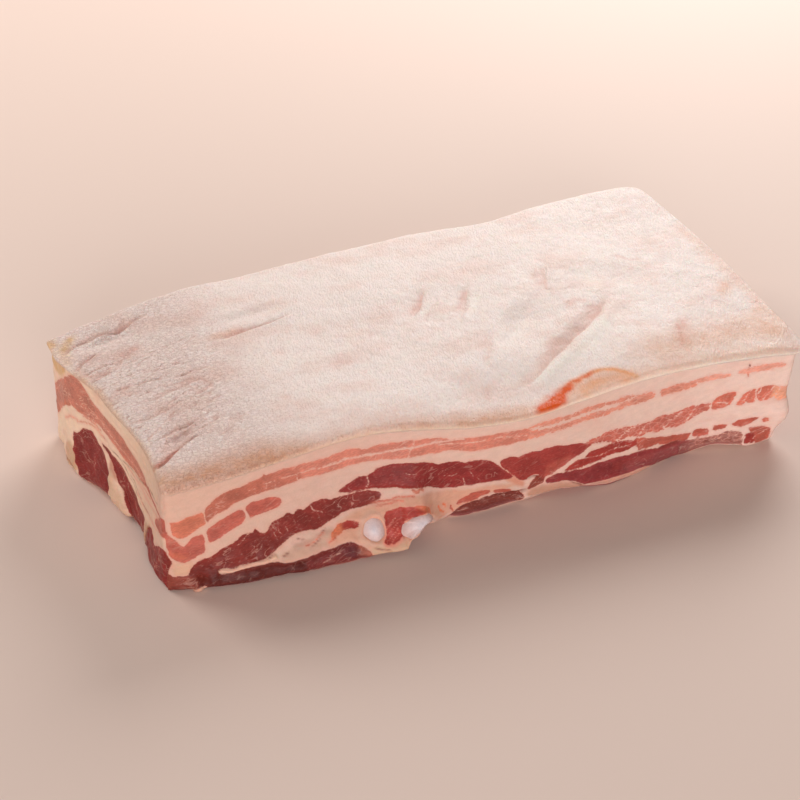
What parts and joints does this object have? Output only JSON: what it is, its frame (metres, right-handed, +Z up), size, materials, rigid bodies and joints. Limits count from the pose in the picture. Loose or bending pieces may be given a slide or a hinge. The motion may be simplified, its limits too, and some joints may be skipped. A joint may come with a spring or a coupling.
{
  "type": "pork belly slab",
  "caption": "Raw pork belly piece, skin side up: pale rind with folds on top, streaked meat and fat in the cut sides, white rib cartilage ends showing in the front cut.",
  "frame": {"origin": "middle of the box's underside, on the flat of the base", "axes": "+X along the block's length, -Y towards the long cut face with the cartilage ends, +Z up through the thickness to the rind"},
  "size_m": [0.398, 0.2356, 0.0664],
  "materials": {
    "meat_and_fat": "raw meat and fat, moist, satin",
    "rind": "pale scalded pork skin, fine pores, satin",
    "cartilage": "bluish white gristle, moist"
  },
  "bodies": {
    "root": {"pork_belly": "meat_and_fat", "rib_cartilage_1": "cartilage", "rib_cartilage_2": "cartilage"}
  },
  "joints": []
}
